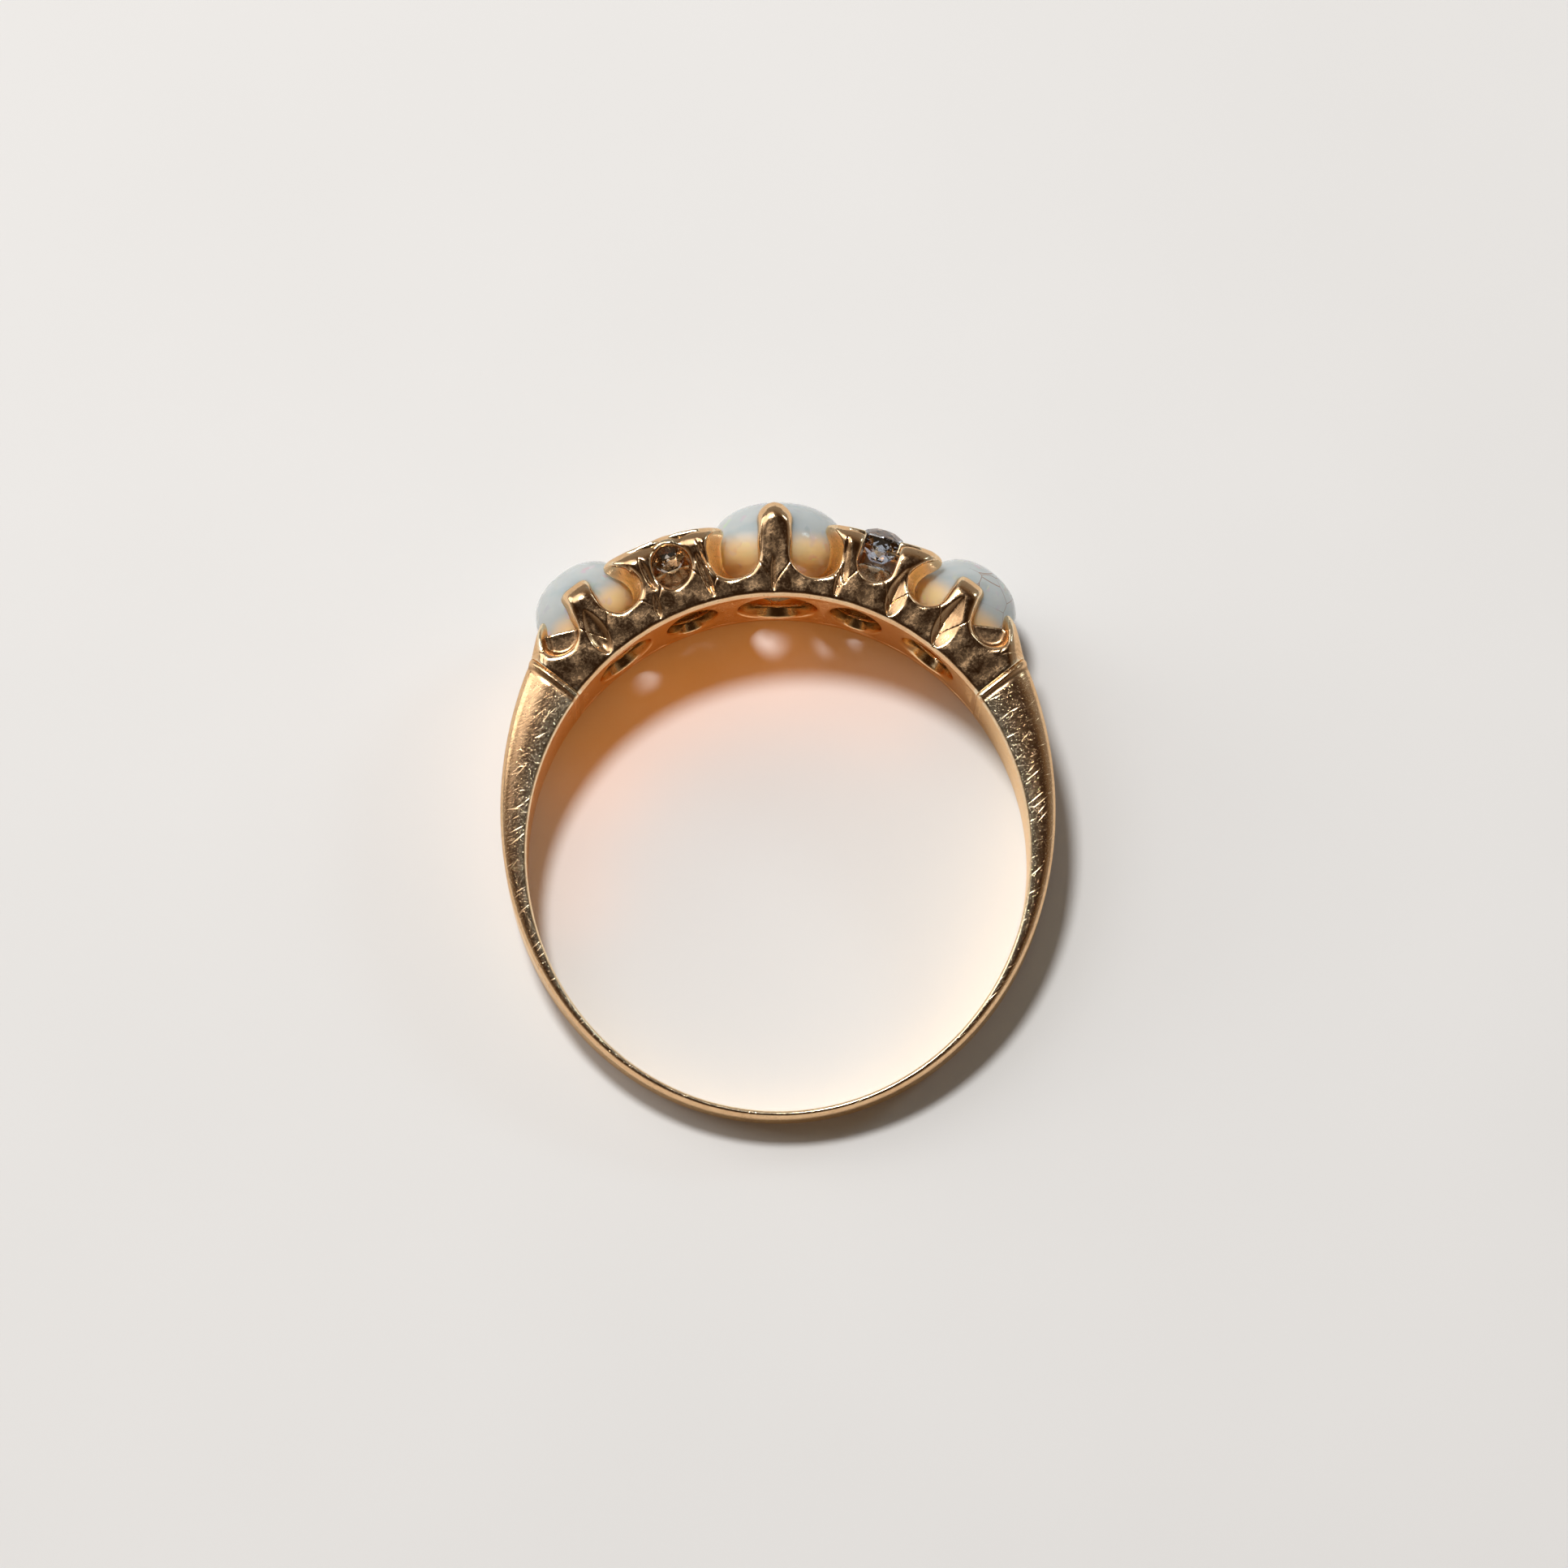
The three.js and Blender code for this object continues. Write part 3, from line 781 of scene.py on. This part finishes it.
def slot_field(T, R, Q, start, end, floor, slope, close, closed=False, bowl=None):
    """Distance to a round-bottomed slot whose sides slope in along the finger."""
    half = math.radians(end - start) / 2 * SLOT_RADIUS
    u = np.radians(T - (start + end) / 2) * R
    inwards = np.clip(Q, 0, WALL) / WALL
    high = ease(*SLOT_CLOSING, R)
    left = half - slope[0] * inwards - close[0] * high
    right = half - slope[1] * inwards - close[1] * high
    centre = (right - left) / 2
    width = (right + left) / 2
    if closed:
        middle_height = floor + FLOOR_SLOPE * inwards + width * TALL
        return np.hypot(u - centre, (R - middle_height) / TALL) - width
    bottom = floor + FLOOR_SLOPE * inwards + width
    round_part = np.hypot(u - centre, R - bottom) - width
    slot = np.where(R > bottom, np.abs(u - centre) - width, round_part)
    if bowl is None:
        return slot
    edge = bowl[0] + (bowl[1] - bowl[0]) * np.clip((T - start) / (end - start), 0, 1)
    return soft_max(slot, np.minimum(Q - BOWL_DEPTH, edge - R), 0.06)


def cut_depth(T, R, foot, head, low, high, half, depth, scoop):
    """How deep one leaf-shaped graver cut goes into the face."""
    t = np.clip((R - low) / (high - low), 0, 1)
    u = np.radians(T - (foot + (head - foot) * t)) * R
    leaf = half * np.abs(np.sin(math.pi * t ** 0.8)) ** 0.7 + 1e-3
    bottom = V_LEAN * leaf
    across = np.clip(np.abs(u - bottom) / np.where(u > bottom, 1 - V_LEAN, 1 + V_LEAN) / leaf, 0, 1)
    inside = np.where(scoop, 1 - (u / leaf) ** 2, 1 - across) * ((R > low) & (R < high))
    return depth * np.clip(inside, 0, 1) * np.minimum(1, leaf / half * 1.2)


def wall_front(T, R, tips):
    """How far the carved outer face lies inside the side plane."""
    front = FACE_WAVE * np.sin(T * 0.9 + R * 2.1) * np.sin(R * 3.3 - T * 0.35)
    front = front + TIP_FALL * ease(tips - 0.75, tips + 0.15, R) ** 1.6
    for angle, half, _ in CLAWS.values():
        share = np.abs(np.radians(T - angle) * R) / half
        front = front + ROUNDED * np.minimum(share, 1) ** 2 * ease(1.7, 1.1, share) * ease(9.9, 10.8, R)
    for cut in CUTS:
        front = front + cut_depth(T, R, *cut)
    return front


def wall_field(T, R, Q):
    """Distance to a whole side of the head: wall and claws together."""
    bore = bore_radius(T)
    tips = np.interp(T, TIPS[:, 0], TIPS[:, 1])
    field = wall_front(T, R, tips) - Q
    slots = np.full(np.broadcast(T, R, Q).shape, FAR, np.float32)
    for slot in SLOTS:
        slots = np.minimum(slots, slot_field(T, R, Q, **slot))
    field = soft_max(field, -slots, 0.10 + 0.08 * np.sin(T * 0.55 + 1) ** 2)
    field = soft_max(field, R - tips, 0.30)
    back = WALL_FOOT + (WALL - WALL_FOOT) * ease(bore + 0.35, bore + 0.9, R) + 0.25 * ease(10.7, 11.3, R)
    field = soft_max(field, Q - back, 0.08)
    bevel = (RIM_BEVEL - (R - bore)) * BEVEL_FACING[0] - Q * BEVEL_FACING[1]
    field = soft_max(field, bevel, 0.03)
    field = np.maximum(field, bore - R)
    return np.maximum(field, np.radians(np.abs(T) - HEAD_END) * R)


def claw_territory(T, R, angle, half, foot):
    """Negative inside a claw's own metal, which narrows to a point at its foot."""
    u = np.radians(T - angle) * R
    width = half * ease(foot, foot + 1.3, R) + 0.35 * ease(10.6, 11.2, R)
    return np.abs(u) - width


def make_walls():
    """Both gallery walls and their claws, cut out of one solid and mirrored for the back."""
    head = (-SEAM - HEAD_MARGIN, SEAM + HEAD_MARGIN)
    block = Block(head, (8.35, 12.0), (-0.16, 1.36), 10)
    T, R, Q = block.coordinates()
    whole = wall_field(T, R, Q)
    fill = solid_share(whole, 5)
    borders = {name: claw_territory(T, R, *shape) for name, shape in CLAWS.items()}
    pieces = {(f"claw_carved_{{}}_{name}", f"claw_{{}}_{name}"): border for name, border in borders.items()}
    pieces["gallery_wall_carved_{}", "gallery_wall_{}"] = -np.min(list(borders.values()), axis=0)
    for (name, node), border in pieces.items():
        border = np.broadcast_to(border, whole.shape)
        part = np.maximum(whole + SINK * ease(0, OVERLAP, border), border - OVERLAP)
        near = np.where((part < 0).any(axis=(1, 2)))[0]
        low, high = max(near[0] - 2, 0), near[-1] + 3
        points, quads = net(part[low:high])
        # Open edges wear bright; recesses, with much solid round them, get grime and painted shade.
        wear_and_shade = 1.0 - sample(fill[low:high], points)
        x, y, q = block.located(points, low)
        for side, word in ((1, "front"), (-1, "back")):
            places = np.stack([x, y, side * (half_width(y) - q)], 1)
            piece = put(name.format(word), places, quads.tolist(), GOLD_HEAD, "wear_and_shade", wear_and_shade)
            finish_piece(outward(piece), "gold", node.format(word))


# ---- rail against the finger ----
# Oval openings behind the stones: angle, half width, half length along the finger.
AZURES = [(-37.0, 1.00, 1.75), (-19.6, 0.82, 1.95), (0.0, 1.25, 2.15), (17.9, 0.82, 1.95), (36.4, 1.00, 1.75)]
AZURE_FLARE = 0.10  # how much wider the openings are against the finger


def make_rail():
    """The curved strip against the finger, with its openings."""
    head = (-SEAM - HEAD_MARGIN, SEAM + HEAD_MARGIN)
    block = Block(head, (8.35, 9.6), (-2.9, 2.9), 9)
    T, R, W = block.coordinates()
    bore = bore_radius(T)
    side = half_width(R * np.cos(np.radians(T)))
    field = np.maximum(bore + 0.008 - R, R - bore - RAIL)
    field = np.maximum(field, np.abs(W) - side + WALL_FOOT - 0.06)
    for angle, across, along in AZURES:
        u = np.radians(T - angle) * R
        flare = AZURE_FLARE * ease(bore + RAIL, bore, R)
        oval = (np.hypot(u / (across + flare), W / (along + flare)) - 1) * across
        field = soft_max(field, -oval, 0.10)
    field = np.maximum(field, np.radians(np.abs(T) - HEAD_END) * R)
    make_carved("gallery_rail_pierced", "gallery_rail", block, field, 5)


# ---- stones ----
# Each opal: angle, half width across, half length along the finger, height of its girdle, dome height.
OPALS = {
    "left": (-37.2, 1.88, 2.38, 10.50, 1.75),
    "centre": (0.0, 2.38, 2.78, 10.52, 1.70),
    "right": (36.4, 1.88, 2.38, 10.50, 1.75),
}
OPAL_FOOT = 0.98  # depth of an opal's rounded foot below its girdle
OPAL_ROWS, OPAL_RING = 72, 144
DOME_FULLNESS, FOOT_FULLNESS = 0.80, 0.62  # under 1 is fuller than an ellipse

# Each diamond: angle, height of its girdle, finish, and how high the opening in front of it reaches.
DIAMONDS = {"left": (-20.2, 11.02, DIAMOND_BROWN, 11.16), "right": (18.5, 11.24, DIAMOND_BLUE, 12.0)}
DIAMOND_RADIUS = 0.84
DIAMOND_FROM_EDGE = 1.30  # a diamond's middle from the side plane
FLAT_ENOUGH = math.radians(1.5)  # facets closer to flat than this are one facet
# Corners of an old brilliant cut, from table to culet: count, radius, height, turn in steps. Radius
# and height are shares of the stone's radius.
FACET_RINGS = [
    (8, 0.52, 0.40, 0), (8, 0.80, 0.25, 0.5), (16, 1.0, 0.04, 0), (16, 1.0, -0.03, 0),
    (8, 0.78, -0.40, 0.5), (8, 0.30, -0.86, 0),
]


def standing(points, angle, height, along=0.0):
    """Points drawn at the head's middle as (across, up, along), moved to an angle and a height."""
    across, up, w = points.T
    a = math.radians(angle)
    x = across * math.cos(a) + (up + height) * math.sin(a)
    y = (up + height) * math.cos(a) - across * math.sin(a)
    return np.stack([x, y, w + along], 1)


def closed_rings(rows, ring):
    """Faces of stacked rings of points, closed by one point below and one above, added last."""
    faces = []
    foot, top = rows * ring, rows * ring + 1
    for j in range(ring):
        k = (j + 1) % ring
        for i in range(rows - 1):
            faces.append([i * ring + j, i * ring + k, (i + 1) * ring + k, (i + 1) * ring + j])
        faces.append([foot, k, j])
        faces.append([top, (rows - 1) * ring + j, (rows - 1) * ring + k])
    return faces


def make_opal(name, angle, half_across, half_along, girdle, dome):
    """An oval cabochon with a full, slightly uneven dome and a rounded foot."""
    t = np.linspace(-math.pi / 2, math.pi / 2, OPAL_ROWS + 1)[1:-1]
    a = np.linspace(0, 2 * math.pi, OPAL_RING, endpoint=False)
    T, A = np.meshgrid(t, a, indexing="ij")
    spread = np.cos(T) ** np.where(T > 0, DOME_FULLNESS, FOOT_FULLNESS)
    up = np.where(T > 0, dome * np.sin(T), OPAL_FOOT * np.sin(T))
    uneven = 1 + 0.008 * np.sin(2 * A + angle) + 0.006 * np.sin(3 * A + 2 * T)
    across = half_across * spread * np.cos(A) * uneven
    along = half_along * spread * np.sin(A) * uneven
    points = np.stack([across, up, along], -1).reshape(-1, 3)
    points = np.concatenate([points, [[0, -OPAL_FOOT, 0], [0, dome, 0]]])
    faces = closed_rings(len(t), OPAL_RING)
    material = OPAL_CRAZED if name == "right" else OPAL
    places = standing(points, angle, girdle)
    piece = put(f"opal_cabochon_{name}", places, faces, material, "height", points[:, 1])
    finish_piece(outward(piece), "opal", f"opal_{name}")


def cut_stone(radius):
    """Corner points of an old brilliant cut."""
    points = []
    for count, share, height, turn in FACET_RINGS:
        for i in range(count):
            a = 2 * math.pi * (i + turn) / count
            points.append((radius * share * math.cos(a), radius * height, radius * share * math.sin(a)))
    return np.array(points)


def diamond_along(name):
    """How far a diamond's middle is from the ring's middle plane."""
    angle, height, _, _ = DIAMONDS[name]
    return half_width(height * math.cos(math.radians(angle))) - DIAMOND_FROM_EDGE


def make_diamond(name, side, word):
    """One old-cut diamond with flat facets."""
    angle, height, material, _ = DIAMONDS[name]
    corners = in_frame(standing(cut_stone(DIAMOND_RADIUS), angle, height, side * diamond_along(name)))
    shape = bmesh.new()
    for corner in corners:
        shape.verts.new(corner)
    bmesh.ops.convex_hull(shape, input=shape.verts)
    bmesh.ops.dissolve_limit(shape, angle_limit=FLAT_ENOUGH, verts=shape.verts, edges=shape.edges)
    mesh = bpy.data.meshes.new(f"diamond_cut_{name}_{word}")
    shape.to_mesh(mesh)
    shape.free()
    mesh.materials.append(material)
    finish_piece(outward(new_object(mesh.name, mesh)), "diamond", f"diamond_{name}_{word}")


# ---- saddles between the opals ----
SADDLE_LOW = 10.80
SADDLE_TOP = 11.42
SADDLE_DIP = 0.10  # how much lower its edges are than its middle
SADDLE_INSET = 0.30  # from the side planes
SADDLE_SPREAD = 6.7  # half the saddle's spread, in degrees
GAP_MIDDLES = {"left": -20.3, "right": 18.9}
OPAL_GAP = 0.05
SEAT_GAP = 0.04  # round a diamond, widening upwards
SEAT_FLARE = 0.45
SEAT_DEPTH = 0.12  # below the girdle, and how much narrower the hole through the plate is
NOTCH = 0.60  # half width of the opening in front of a diamond
# A sloping shelf below each diamond closes the opening in the wall behind it.
SHELF_LOW = 9.56
SHELF_HALF = 0.85
SHELF_INSET = 0.28
SHELF_SLOPE = 1.1
SHELF_BACK = 1.15


def plate_field(name, T, R, W, side):
    """Distance to the plate across a gap, cut away for the opals."""
    tips = np.interp(T, TIPS[:, 0], TIPS[:, 1])
    top = np.minimum(tips - 0.02, SADDLE_TOP) - SADDLE_DIP * (1 - (W / 3.0) ** 2)
    field = soft_max(R - top, SADDLE_LOW - R, 0.08)
    field = soft_max(field, np.abs(W) - side + SADDLE_INSET, 0.10)
    field = soft_max(field, np.radians(np.abs(T - GAP_MIDDLES[name]) - SADDLE_SPREAD) * R, 0.10)
    for angle, half_across, half_along, girdle, dome in OPALS.values():
        lean = np.radians(T - angle)
        u = R * np.sin(lean)
        v = R * np.cos(lean) - girdle
        oval = (np.sqrt((u / half_across) ** 2 + (W / half_along) ** 2 + (v / dome) ** 2) - 1) * half_across
        field = soft_max(field, OPAL_GAP - oval, 0.08)
    return field


def seat_field(name, T, R, W):
    """Distance to the seats sunk round a gap's two diamonds, the holes below and the openings in front."""
    angle, height, _, open_top = DIAMONDS[name]
    along = diamond_along(name)
    u = np.radians(T - angle) * height
    from_stone = np.hypot(u, np.abs(W) - along)
    rim = DIAMOND_RADIUS + SEAT_GAP + SEAT_FLARE * np.maximum(R - height, 0)
    seat = np.maximum(from_stone - rim, height - SEAT_DEPTH - R)
    through = from_stone - (DIAMOND_RADIUS - SEAT_DEPTH)
    notch = np.maximum(np.maximum(np.abs(u) - NOTCH, along - np.abs(W)), R - open_top)
    return np.minimum(np.minimum(seat, through), notch)


def shelf_field(name, T, R, W, side):
    """Distance to the two sloping shelves below a gap's diamonds."""
    u = np.radians(T - GAP_MIDDLES[name]) * R
    inset = SHELF_INSET + SHELF_SLOPE * (R - SHELF_LOW)
    shelf = soft_max(np.abs(W) - side + inset, side - SHELF_BACK - np.abs(W), 0.05)
    ends = np.maximum(SHELF_LOW - R, R - SADDLE_LOW + 0.1)
    return soft_max(np.maximum(shelf, np.abs(u) - SHELF_HALF), ends, 0.05)


def make_saddle(name):
    """The plate across a gap between opals, with its seats and shelves."""
    angle = DIAMONDS[name][0]
    block = Block((angle - 14, angle + 14), (9.4, 11.7), (-3.2, 3.2), 11)
    T, R, W = block.coordinates()
    side = half_width(R * np.cos(np.radians(T)))
    field = soft_max(plate_field(name, T, R, W, side), -seat_field(name, T, R, W), 0.06)
    field = np.minimum(field, shelf_field(name, T, R, W, side))
    make_carved(f"saddle_pierced_{name}", f"diamond_saddle_{name}", block, field, 4)


# ---- floor, light and camera ----
FLOOR_HALF = 0.6  # metres
FLOOR_SHADE = (0.80, 0.80, 0.795)
FLOOR_PALE = (0.85, 0.85, 0.848)
# Soft lights: name, direction, distance and size in metres, power in watts, colour.
LIGHTS = [
    ("window", (-0.46, 0.72, 2.6), 0.34, 0.05, 0.74, (1.0, 0.99, 0.975)),
    ("second_window", (0.9, 0.6, 0.7), 0.4, 0.08, 0.09, (0.72, 0.90, 1.0)),
    ("side_wall", (-1.0, 0.40, 0.42), 0.4, 0.22, 0.24, (1.0, 0.97, 0.93)),
]
# Warm light that the gold throws down on the floor inside the hoop: angle, power in watts.
BOUNCES = [(-95, 0.9e-5), (-62, 2.2e-5), (-30, 2.6e-5), (0, 2.6e-5), (30, 1.7e-5)]
BOUNCE_SIZE = 4.0
BOUNCE_RADIUS = 7.3
BOUNCE_HEIGHT = -0.4
BOUNCE_COLOR = (1.0, 0.26, 0.0)


def make_floor():
    """A plain pale floor under the ring."""
    level = min(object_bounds()[0].z, 0.0)
    size = FLOOR_HALF
    mesh = bpy.data.meshes.new("floor")
    corners = [(-size, -size, level), (size, -size, level), (size, size, level), (-size, size, level)]
    mesh.from_pydata(corners, [], [(0, 1, 2, 3)])
    cloth = Finish("pale_floor").set(Roughness=0.9)
    soft = cloth.noise((0.06, 0.06, 0.06), detail=2)
    cloth.feed("Base Color", soft.blend(FLOOR_SHADE, FLOOR_PALE))
    mesh.materials.append(cloth.material)
    new_object("floor", mesh)


def disk_light(name, size, power, color):
    """A round soft light at the origin, facing down."""
    lamp = bpy.data.lights.new(name, "AREA")
    lamp.shape = "DISK"
    lamp.size = size
    lamp.energy = power
    lamp.color = color
    return new_object(name, lamp)


def make_light(name, direction, distance, size, power, color):
    """A round soft light that faces the ring from a direction."""
    light = disk_light(name, size, power, color)
    away = Vector(direction).normalized()
    light.location = away * distance
    light.rotation_euler = away.to_track_quat("Z", "Y").to_euler()


def make_bounce(angle, power):
    """One small warm light inside the hoop that faces the floor."""
    light = disk_light("gold_bounce", BOUNCE_SIZE * MM, power, BOUNCE_COLOR)
    a = math.radians(angle)
    light.location = in_frame([(BOUNCE_RADIUS * math.sin(a), BOUNCE_RADIUS * math.cos(a), BOUNCE_HEIGHT)])[0]
    light.visible_glossy = False
    light.visible_camera = False


ROOM_STRENGTH = 0.55
OVERHEAD = (-0.05, -0.22, 1)
# The room's colour from below the ring to overhead.
ROOM_COLORS = [
    (0.0, (0.50, 0.48, 0.46)), (0.30, (0.44, 0.40, 0.36)), (0.58, (0.27, 0.19, 0.12)),
    (0.82, (0.055, 0.027, 0.012)), (1.0, (0.035, 0.017, 0.007)),
]
BRIGHT_WALL = (-0.55, 0.42, 0.95)  # where the room is brightest
BRIGHT_COLOR = (3.2, 3.05, 2.95)


def toward(tree, place, direction):
    """One looking along a direction, and less away from it."""
    dot = tree.nodes.new("ShaderNodeVectorMath")
    dot.operation = "DOT_PRODUCT"
    tree.links.new(place, dot.inputs[0])
    dot.inputs[1].default_value = Vector(direction).normalized()
    return Formula(tree, dot.outputs["Value"])


def make_room():
    """A pale room, brighter to one side, with a dark brown ceiling overhead."""
    world = bpy.data.worlds.new("room")
    bpy.context.scene.world = world
    world.use_nodes = True
    tree = world.node_tree
    place = tree.nodes.new("ShaderNodeTexCoord").outputs["Generated"]
    ramp = tree.nodes.new("ShaderNodeValToRGB")
    tree.links.new(toward(tree, place, OVERHEAD).socket, ramp.inputs[0])
    for position, _ in ROOM_COLORS[2:]:
        ramp.color_ramp.elements.new(position)
    for element, (position, color) in zip(ramp.color_ramp.elements, ROOM_COLORS):
        element.position = position
        element.color = (*color, 1)
    glow = toward(tree, place, BRIGHT_WALL).ramp(0.88, 0.985)
    sky = tree.nodes["Background"]
    tree.links.new(glow.blend(ramp.outputs[0], BRIGHT_COLOR), sky.inputs["Color"])
    sky.inputs["Strength"].default_value = ROOM_STRENGTH


CAMERA_DISTANCE = 350.0
CAMERA_TILT = math.radians(7.9)  # from the finger's direction, towards the ring's back
CAMERA_SIDE = math.radians(0.4)  # from the finger's direction, towards the left
AIM_X, AIM_Y = 0.2, 2.31
LENS_SHARE = 0.6797  # lens length for each millimetre of distance


def make_camera():
    """Almost square to the near side plane, from far enough to look flat."""
    aim = np.array((AIM_X, AIM_Y, half_width(AIM_Y)))
    up = np.array((0, math.cos(LEAN), math.sin(LEAN)))
    back = np.array((-math.sin(CAMERA_SIDE), -math.sin(CAMERA_TILT), math.cos(CAMERA_TILT)))
    target, above, place = (Vector(p) for p in in_frame([aim, aim + up, aim + back * CAMERA_DISTANCE]))
    away = (place - target).normalized()
    right = (above - target).cross(away).normalized()
    data = bpy.data.cameras.new("camera")
    data.sensor_width = 36
    data.lens = LENS_SHARE * CAMERA_DISTANCE
    data.clip_start = 0.001
    camera = new_object("camera", data)
    camera.location = place
    camera.rotation_euler = Matrix((right, away.cross(right), away)).transposed().to_euler()
    bpy.context.scene.camera = camera


make_shank()
make_walls()
make_rail()
for name, shape in OPALS.items():
    make_opal(name, *shape)
for name in DIAMONDS:
    make_saddle(name)
    for side, word in ((1, "front"), (-1, "back")):
        make_diamond(name, side, word)
make_floor()
for light in LIGHTS:
    make_light(*light)
for bounce in BOUNCES:
    make_bounce(*bounce)
make_room()
make_camera()
bpy.context.scene.view_settings.view_transform = "Standard"
